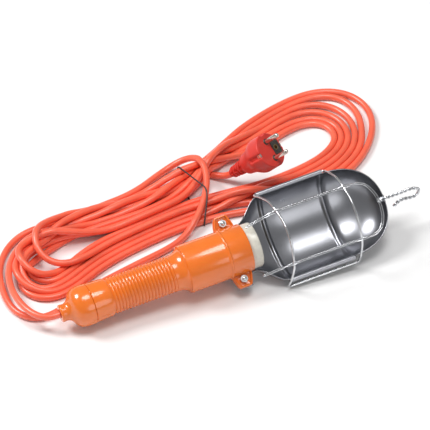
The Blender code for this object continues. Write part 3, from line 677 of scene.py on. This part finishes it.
def make_grip():
    bore = [(COLLAR_END, 22.6), (COLLAR_END - 0.3, 22.3), (166.0, 22.3), (166.0, 17.0), (140.0, 17.0)]
    bore += [(125.0, 13.0), (42.0, 13.0), (40.0, 9.0), (33.6, 9.0), (33.6, 12.0), (32.6, 12.0)]
    parts = [turned(grip_outline() + bore, 128, LAMP)]
    for side in (1, -1):
        half = [(10.5, 23.6), (9.4, 29.5), (7.4, 35.5), (6.2, EAR_REACH)]
        shape = [(x, side * y) for x, y in half]
        shape = [(EAR_AT - x, y) for x, y in shape] + [(EAR_AT + x, y) for x, y in shape[::-1]]
        centre = (EAR_AT, side * EAR_Y)
        outer = by_angle(rounded(shape, 1.9), centre, 64)
        hole = circle(centre, 2.25, 64)

        def inset(amount):
            ring = []
            for x, y in outer:
                d = math.hypot(x - centre[0], y - centre[1])
                k = (d - amount) / d
                ring.append((centre[0] + (x - centre[0]) * k, centre[1] + (y - centre[1]) * k))
            return ring

        inner, low = inset(1.7), inset(1.9)
        loops = [
            [(x, y, -EAR_HALF) for x, y in inset(0.4)], [(x, y, -EAR_HALF + 0.4) for x, y in outer],
            [(x, y, EAR_HALF - 0.5) for x, y in outer], [(x, y, EAR_HALF - 0.1) for x, y in inset(0.2)],
            [(x, y, EAR_HALF) for x, y in inset(0.6)], [(x, y, EAR_HALF) for x, y in inset(1.3)],
            [(x, y, EAR_HALF - 0.4) for x, y in inner], [(x, y, 2.2) for x, y in low],
            [(x, y, 2.0) for x, y in inset(2.2)], [(x, y, 2.0) for x, y in hole],
            [(x, y, -EAR_HALF) for x, y in hole],
        ]
        parts.append(outline_plate(loops, LAMP))
    piece("grip_moulding", parts, "orange_plastic", nodes=("grip",))


def make_lampholder():
    body = [(176.0, 4.0), (166.6, 4.0), (166.6, 22.0), (COLLAR_END + 0.3, 22.0), (COLLAR_END + 0.3, 23.0)]
    body += [(COLLAR_END + 0.7, 23.3)] + arc((CERAMIC_END - 1.6, 21.7), (1.6, 1.6), 90, 0, 7)
    body += arc((CERAMIC_END - 0.8, 15.2), (0.8, 0.8), 0, -90, 4) + [(176.0, 14.4)]
    piece("lampholder_ring", [turned(body, 96, LAMP)], "cream_ceramic", nodes=("lampholder_ceramic",))
    stations = np.linspace(CERAMIC_END - 5.0, 185.0, 60)

    def thread(s, r, a):
        return r - 0.5 * (1 + math.cos(2 * math.pi * (s / THREAD_PITCH - a / (2 * math.pi))))

    outline = [(s, 13.9) for s in stations] + [(s, 13.5) for s in stations[::-1]]
    piece("threaded_sleeve", [turned(outline, 60, LAMP, shape=thread)], "brass", nodes=("threaded_shell",))


def make_fasteners():
    for name, side in (("hinge_side", 1), ("free_side", -1)):
        centre = Matrix.Translation(Vector((EAR_AT, side * EAR_Y, 0)) * MM)
        pivot = LAMP @ centre @ Matrix.Rotation(-math.pi / 2, 4, "Y") @ Matrix.Rotation(0.35 * side, 4, "X")
        count = 72

        def hexagon(a):
            return NUT_FLATS / 2 / math.cos((a + math.pi / 6) % (math.pi / 3) - math.pi / 6)

        # Height, radius (None follows the hexagon) and which way its corners are chamfered
        levels = [(NUT_LOW, 2.05, 0), (NUT_LOW, 3.5, 0), (NUT_LOW, None, 1), (NUT_HIGH, None, -1)]
        levels += [(NUT_HIGH, 3.5, 0), (NUT_HIGH, 2.5, 0), (NUT_HIGH - 0.5, 2.05, 0)]
        loops = []
        for z, grow, chamfer in levels:
            ring = []
            for i in range(count):
                a = 2 * math.pi * i / count
                r = hexagon(a) if grow is None else grow
                depth = chamfer * (r - 3.5) * 0.55 if chamfer else 0
                ring.append((z + depth, r * math.cos(a), r * math.sin(a)))
            loops.append(ring)
        nut = outline_plate(loops, pivot)
        piece("nut_" + name, [nut], "zinc_wire", nodes=("ear_nut_" + name,), sharp=25.0,
              finish="bright_zinc")
        bolt = [(7.4, 0), (7.4, 1.3), (7.2, 1.6), (6.9, 1.95)]
        for i in range(18):
            bolt.append((6.8 - i * 0.35, 2.0 if i % 2 else 1.78))
        bolt += [(0.0, 2.0), (-7.1, 2.0), (-7.1, 3.3), (-7.4, 3.5)]
        bolt += [(-8.6, 3.1), (-9.4, 2.2), (-9.8, 1.2), (-9.8, 0)]
        piece("bolt_" + name, [turned(bolt, 40, pivot, ring=False)], "zinc_wire", nodes=("ear_bolt_" + name,))


# ---------------------------------------------------------------- the reflector

def ease(t):
    return t * t * (3 - 2 * t)


def section_at(station):
    """Half width, depth, top z and start angle of the sheet's cross-section at a station."""
    band_r = TUBE_R + 0.4 + SHEET / 2
    band_start = math.asin(-TAB_Z / band_r)
    if station <= NECK_STATION:
        return band_r, band_r, 0.0, band_start
    if station <= TROUGH_END:
        flare = min(1.0, (station - NECK_STATION) / (TROUGH_START - NECK_STATION))
        sink = min(1.0, (station - NECK_STATION) / (FULL_DEPTH_STATION - NECK_STATION))
        wide = ease(flare)
        width = band_r + (HALF_WIDTH - band_r) * wide
        depth = band_r + (DEPTH - band_r) * ease(sink)
        return width, depth, RIM_Z * wide, band_start * max(0.0, 1 - flare / 0.35)
    t = (station - TROUGH_END) / (DOME_TIP - TROUGH_END)
    g = max(0.0, 1 - t ** 2.3) ** (1 / 2.3)
    return HALF_WIDTH * g, DEPTH * g, RIM_Z, 0.0


def bead_at(station, share):
    """How far a pressed bead stands into the trough at a station and a share of the way round."""
    height = 0.0
    for centre in (TROUGH_START + 4.0, TROUGH_END - 2.0):
        t = (station - centre) / 3.4
        if abs(t) < 1:
            height += 1.9 * math.cos(t * math.pi / 2) ** 2
    ends = min(1.0, max(0.0, min(share, 1 - share) / 0.06))
    return height * ease(ends)


def make_reflector():
    around, rolled = 72, 16
    stations = [EAR_AT - 7, EAR_AT + 9] + list(np.linspace(NECK_STATION, TROUGH_START - 0.4, 24))
    stations += list(np.linspace(TROUGH_START, TROUGH_START + 8, 24)) + list(np.linspace(242, 299, 16))
    stations += list(np.linspace(TROUGH_END - 5, TROUGH_END, 16))
    stations += [TROUGH_END + (DOME_TIP - TROUGH_END) * math.sin(t * math.pi / 2) ** 0.9
                 for t in np.linspace(0.05, 0.985, 34)]

    def edge_points(station, side):
        if station < NECK_STATION:
            return [(station, side * y, TAB_Z) for y in (EAR_REACH, 31.0)]
        if TROUGH_START <= station <= TROUGH_END:
            points = []
            for i in range(rolled, 0, -1):
                a = math.pi - i * math.radians(300) / rolled
                points.append((station, side * (CURL_Y + CURL_R * math.cos(a)), RIM_Z + CURL_R * math.sin(a)))
            return points
        return []

    rows = []
    verts, faces = [], []
    for station in stations:
        width, depth, top, start = section_at(station)
        middle = []
        for i in range(around + 1):
            a = start + (math.pi - 2 * start) * i / around
            lift = bead_at(station, i / around)
            middle.append((station, (width - lift) * math.cos(a), top - (depth - lift) * math.sin(a)))
        row = []
        for part in (edge_points(station, 1), middle, edge_points(station, -1)[::-1]):
            row.append(list(range(len(verts), len(verts) + len(part))))
            verts += part
        rows.append(row)
    for near, far in zip(rows, rows[1:]):
        strips = [(near[1], far[1])]
        if near[0] and len(near[0]) == len(far[0]):
            strips.append((near[0] + near[1][:1], far[0] + far[1][:1]))
            strips.append((near[1][-1:] + near[2], far[1][-1:] + far[2]))
        for a, b in strips:
            faces += [(a[j], a[j + 1], b[j + 1], b[j]) for j in range(len(a) - 1)]
    verts.append((DOME_TIP, 0, RIM_Z - 6.0))
    last = rows[-1][1]
    faces += [(last[j], last[j + 1], len(verts) - 1) for j in range(around)]
    faces.append((last[around], last[0], len(verts) - 1))
    sheet = piece("reflector_sheet", [(placed(verts, LAMP), faces)], "bright_sheet", nodes=("reflector",))
    solid = sheet.modifiers.new("sheet", "SOLIDIFY")
    solid.thickness = SHEET * MM
    solid.offset = 0.0


# ---------------------------------------------------------------- guard and hook

def hoop_place(y):
    """Height of the guard's arc above the axis at y, and how far along the arc's lean it is."""
    along = (HIP_HINGE_Y - y) / (HIP_HINGE_Y - HIP_FREE_Y)
    crown = math.sin(math.pi * along)
    return HIP_Z + 17.0 * crown ** 0.8, 0.8 + 0.4 * crown


def hoop(base, lean):
    """Points of one guard hoop, from the hinged edge over the opening to the free edge."""
    points = [(base, CURL_Y, RIM_Z), (base + lean * 0.4, CURL_Y - 5.0, RIM_Z + 10.0)]
    for i in range(13):
        y = HIP_HINGE_Y + (HIP_FREE_Y - HIP_HINGE_Y) * i / 12
        z, share = hoop_place(y)
        points.append((base + lean * share, y, z))
    return points + [(base + lean * 0.35, -48.5, 8.0), (base, -52.0, -5.0)]


def softened(points, radius, step):
    """A closed line of 3-D points with its corners rounded, points `step` apart."""
    out = []
    n = len(points)
    for i in range(n):
        c, a, b = (np.array(points[j % n], float) for j in (i, i - 1, i + 1))
        la, lb = np.linalg.norm(a - c), np.linalg.norm(b - c)
        ra, rb = min(radius, la * 0.45), min(radius, lb * 0.45)
        start, end = c + (a - c) / la * ra, c + (b - c) / lb * rb
        for t in np.linspace(0, 1, 6):
            out.append(start * (1 - t) ** 2 + c * 2 * t * (1 - t) + end * t * t)
    out.append(out[0])
    out = np.array(out)
    run = np.concatenate([[0], np.cumsum(np.linalg.norm(np.diff(out, axis=0), axis=1))])
    at = np.linspace(0, run[-1], int(run[-1] / step), endpoint=False)
    return np.column_stack([np.interp(at, run, out[:, i]) for i in range(3)])


def make_guard():
    loop = hoop(NEAR_HOOP, NEAR_LEAN)[::-1] + hoop(FAR_HOOP, FAR_LEAN)
    line = softened(loop, 3.5, 1.2)
    piece("guard_hoops", [wire(placed(line, LAMP), WIRE_R, 14, closed=True)], "zinc_wire", "guard",
          ("guard_frame",))
    hinge_y, free_y = 19.0, -36.0
    crossings = []
    for y in (hinge_y, free_y):
        z, share = hoop_place(y)
        crossings.append((NEAR_HOOP + NEAR_LEAN * share, FAR_HOOP + FAR_LEAN * share, z))
    (near_1, far_1, z_1), (near_2, far_2, z_2) = crossings
    route = [(205, 15, 27), (221, 17.5, 31.5), (near_1, hinge_y, z_1), (262, hinge_y, z_1 + 1)]
    route += [(288, hinge_y, z_1 + 1), (far_1, hinge_y, z_1), (325, 18.5, 33), (334, 14, 31.5)]
    route += [(340, 3, 30), (341.5, -10, 29), (339, -23, 28), (333, -32, 27.5), (323, -36, 27.5)]
    route += [(far_2, free_y, z_2), (288, free_y, z_2 + 1), (262, free_y, z_2 + 1)]
    route += [(near_2, free_y, z_2), (221, free_y, 25.5), (205, -36.4, 22)]
    line = smooth_line(np.array(route, float), 0.6)
    run = np.concatenate([[0], np.cumsum(np.linalg.norm(np.diff(line, axis=0), axis=1))])
    stops = []
    for x, y in ((near_1, hinge_y), (far_1, hinge_y), (far_2, free_y), (near_2, free_y)):
        stops.append(run[np.argmin(np.hypot(line[:, 0] - x, line[:, 1] - y))])
    turns = 8.5
    marks, twist = [0.0], [-0.25]
    for way, (stop, level) in enumerate(zip(stops, (0, turns, turns, 2 * turns))):
        turned_aside = level + (-0.25 if way == 0 else 0.25)
        if way in (0, 2):
            marks.append(stop - 14)
            twist.append(turned_aside)
        marks += [stop - 7, stop + 7]
        twist += [level, level]
        if way in (1, 3):
            marks.append(stop + 14)
            twist.append(turned_aside)
    phase = np.interp(run, marks, twist) * 2 * math.pi
    near = np.min([np.abs(run - s) for s in stops], axis=0)
    spread = 0.95 + (CROSSING - 0.95) * np.exp(-(near / 5.0) ** 2)
    outward = np.column_stack([np.zeros(len(line)), line[:, 1] - (hinge_y + free_y) / 2, line[:, 2] + 10.0])
    along = np.gradient(line, axis=0)
    along /= np.linalg.norm(along, axis=1)[:, None]
    outward -= along * (outward * along).sum(1)[:, None]
    outward /= np.linalg.norm(outward, axis=1)[:, None]
    aside = np.cross(along, outward)
    swing = outward * np.cos(phase)[:, None] + aside * np.sin(phase)[:, None]
    one, two = line + swing * spread[:, None], line - swing * spread[:, None]
    ends = []
    for at, way in ((-1, 1), (0, -1)):
        centre, t = line[at], along[at] * way
        first = swing[at] * way * spread[at]
        bend = np.linspace(0.4, math.pi - 0.4, 6)
        ends.append([centre + first * math.cos(a) + t * 1.5 * math.sin(a) for a in bend])
    loop = np.vstack([one, ends[0], two[::-1], ends[1]])
    piece("guard_strands", [wire(placed(loop, LAMP), STRAND_R, 10, closed=True)], "zinc_wire", "guard",
          ("guard_strand_outer", "guard_strand_inner"))


def make_hook():
    frame_of = LAMP @ Matrix.Translation((0, 0, HOOK_Z * MM)) @ Matrix.Rotation(-ROLL, 4, "X")
    route = [(352, 0), (366, 0), (377, 0), (386, 0.4), (392.5, -1.2), (396.3, -5.2), (394.5, -10)]
    route += [(389, -12.3), (383, -11.2), (377.5, -10.4), (372.5, -12), (368, -16)]
    line = smooth_line(np.array([(x, 0, z) for x, z in route], float), 0.5)
    run = np.arange(len(line)) * 0.5
    phase = 2 * math.pi * run / 9.5
    along = np.gradient(line, axis=0)
    along /= np.linalg.norm(along, axis=1)[:, None]
    side = np.tile((0.0, 1.0, 0.0), (len(line), 1))
    other = np.cross(along, side)
    parts, spread = [], 0.9
    for turn in (0, math.pi):
        swing = side * np.cos(phase + turn)[:, None] + other * np.sin(phase + turn)[:, None]
        strand = line + spread * swing
        parts.append(wire(placed(strand, frame_of), 1.0, 12))
    piece("hook_wire", parts, "zinc_wire", "hook", ("hook",))


# ---------------------------------------------------------------- the plug

def make_plug():
    side = PLUG_PIN_LINE - PLUG_AXIS * PLUG_PIN_LINE.dot(PLUG_AXIS)
    side.normalize()
    up = PLUG_AXIS.cross(side)
    where = (PLUG_CABLE_END + FLOOR_TAIL) * MM
    frame_of = Matrix.Translation(where) @ Matrix((PLUG_AXIS, side, up)).transposed().to_4x4()
    shell = [(24.3, 0), (24.3, 10.6), (24.8, 11.0), (28.0, 11.6)]
    shell += [(30 + 2 * i, r) for i, r in enumerate((12.0, 12.5, 13.1, 13.9, 14.9, 16.0, 17.0, 17.9, 18.5))]
    shell += [(s, 19.0) for s in np.linspace(48.5, FACE - 1.4, 9)]
    shell += arc((FACE - 1.2, 17.8), (1.2, 1.2), 75, 0, 5) + [(FACE, 16.4)]

    def grooved(s, r, a):
        if r < 16.5:
            return r
        y, z = r * math.cos(a), r * math.sin(a)
        depth = 0.0
        if abs(z) < 3.4 and s > 47:
            depth = 1.9 * min(1.0, (3.4 - abs(z)) / 0.8) * min(1.0, (s - 47) / 3)
        if abs(y) < 2.6 and s > 44.5:
            depth = max(depth, 2.0 * min(1.0, (2.6 - abs(y)) / 0.5) * min(1.0, (s - 44.5) / 1.5))
        return r - depth

    count = 72
    square = [(-7.0, EARTH_Z - 6.0), (7.0, EARTH_Z - 6.0), (7.0, EARTH_Z + 6.0), (-7.0, EARTH_Z + 6.0)]
    outer = by_angle(rounded(square, 1.2), (0, EARTH_Z), count)
    rim = by_angle(circle((0, 0), 16.42, 144), (0, EARTH_Z), count)

    def ring_of(scale, s):
        return [(s, y * scale, EARTH_Z + (z - EARTH_Z) * scale) for y, z in outer]

    def hole(r, s):
        return [(s, y, z) for y, z in circle((0, EARTH_Z), r, count)]

    face = [[(FACE - 0.01, y, z) for y, z in rim]]
    face += [ring_of(1.02, FACE), ring_of(1.02, FACE - 7.0), hole(0.3, FACE - 7.0)]
    points = placed([p for ring in face for p in ring], frame_of)
    body = [turned(shell, 144, frame_of, ring=False, shape=grooved)]
    body.append((points, bands(len(face), count, ring=False)))
    made = [piece("plug_moulding", body, "red_plug", nodes=("plug_body",))]
    relief = [(24.2, 0), (24.2, 8.6)]
    for i in range(RELIEF_RIBS):
        at, r = RELIEF_TOP - i * RELIEF_PITCH, 8.2 - i * 0.55
        relief += [(at, r), (at - 0.4, r + 0.15), (at - 2.0, r + 0.1)]
        relief += [(at - 2.5, r - 0.3), (at - 2.7, r - 1.6), (at - 3.9, r - 1.7)]
    relief += [(0.6, 4.7), (0.0, 4.3), (0.0, 0)]

    def slotted(s, r, a):
        k = int((RELIEF_TOP - s) / RELIEF_PITCH + 0.999)
        slots = abs(math.sin(a + (math.pi / 2) * (k % 2)))
        return r if r > 5 and slots > 0.22 else min(r, 4.6 + max(0.0, (s - 2.0) * 0.09))

    sleeve = turned(relief, 72, frame_of, ring=False, shape=slotted)
    made.append(piece("strain_relief", [sleeve], "red_plug", nodes=("plug_strain_relief",)))
    for name, y in (("live", PIN_Y), ("neutral", -PIN_Y)):
        tip = FACE + PIN_LENGTH
        pin = [(tip, 0), (tip, 0.9), (tip - 0.25, 1.5), (tip - 0.9, 2.05), (tip - 2.0, PIN_R)]
        pin += [(FACE + 9.0, PIN_R), (FACE - 8.6, PIN_R), (FACE - 8.6, 0)]
        prong = turned(pin, 48, frame_of, ring=False, at=(y, 0))
        made.append(piece("pin_" + name, [prong], "nickel_plate", nodes=("plug_pin_" + name,)))
        ring = [(FACE - 1.0, 2.45), (FACE + 0.1, 2.45), (FACE + 0.55, 2.6)]
        ring += [(FACE + 0.6, 3.2), (FACE + 0.05, 3.5), (FACE - 1.0, 3.5)]
        made.append(piece("pin_seat_" + name, [turned(ring, 40, frame_of, at=(y, 0))], "dark_insert"))
    loops = [ring_of(0.98, FACE - 5.8), ring_of(0.98, FACE + 0.35), ring_of(0.94, FACE + 0.6),
             ring_of(0.8, FACE + 0.6), ring_of(0.76, FACE - 0.1)]
    loops += [hole(3.3, FACE - 0.1), hole(3.0, FACE - 0.4), hole(3.0, FACE - 5.8)]
    insert = outline_plate(loops, frame_of)
    made.append(piece("earth_insert", [insert], "dark_insert", nodes=("plug_bridge",)))
    for name, sign in (("upper", 1), ("lower", -1)):
        section = [(-1.9, 0), (-1.6, 0.4), (1.6, 0.4), (1.9, 0), (1.6, -0.5), (-1.6, -0.5)]
        stations = [(-17.4, -1.5), (-12.0, -1.4), (-6.0, -1.1), (-4.6, -0.1), (-2.0, 0.35)]
        stations += [(-0.5, 0.3), (0.1, -0.3)]
        strip = [[(FACE + s, y, sign * (17.5 + lift + h)) for y, h in section] for s, lift in stations]
        points = placed([p for row in strip for p in row], frame_of)
        n = len(strip)
        faces = bands(n, 6, ring=False) + [tuple(range(6)), tuple(range((n - 1) * 6, n * 6))]
        made.append(piece("earth_clip_" + name, [(points, faces)], "nickel_plate",
                          nodes=("plug_earth_clip_" + name,), sharp=30.0))
    return made


make_camera()
FINISHES = make_finishes()
make_stage()
lead, lead_line, lead_length = make_lead()
tie = make_tie(lead_line)
plug = make_plug()
make_tail_cap()
make_grip()
make_lampholder()
make_fasteners()
make_reflector()
make_guard()
make_hook()
for row in frame["record"]["subparts"]:
    node = frame["nodes"][row["node"]]
    node.data.materials.clear()
    node.data.materials.append(FINISHES[row["material_slot"]])
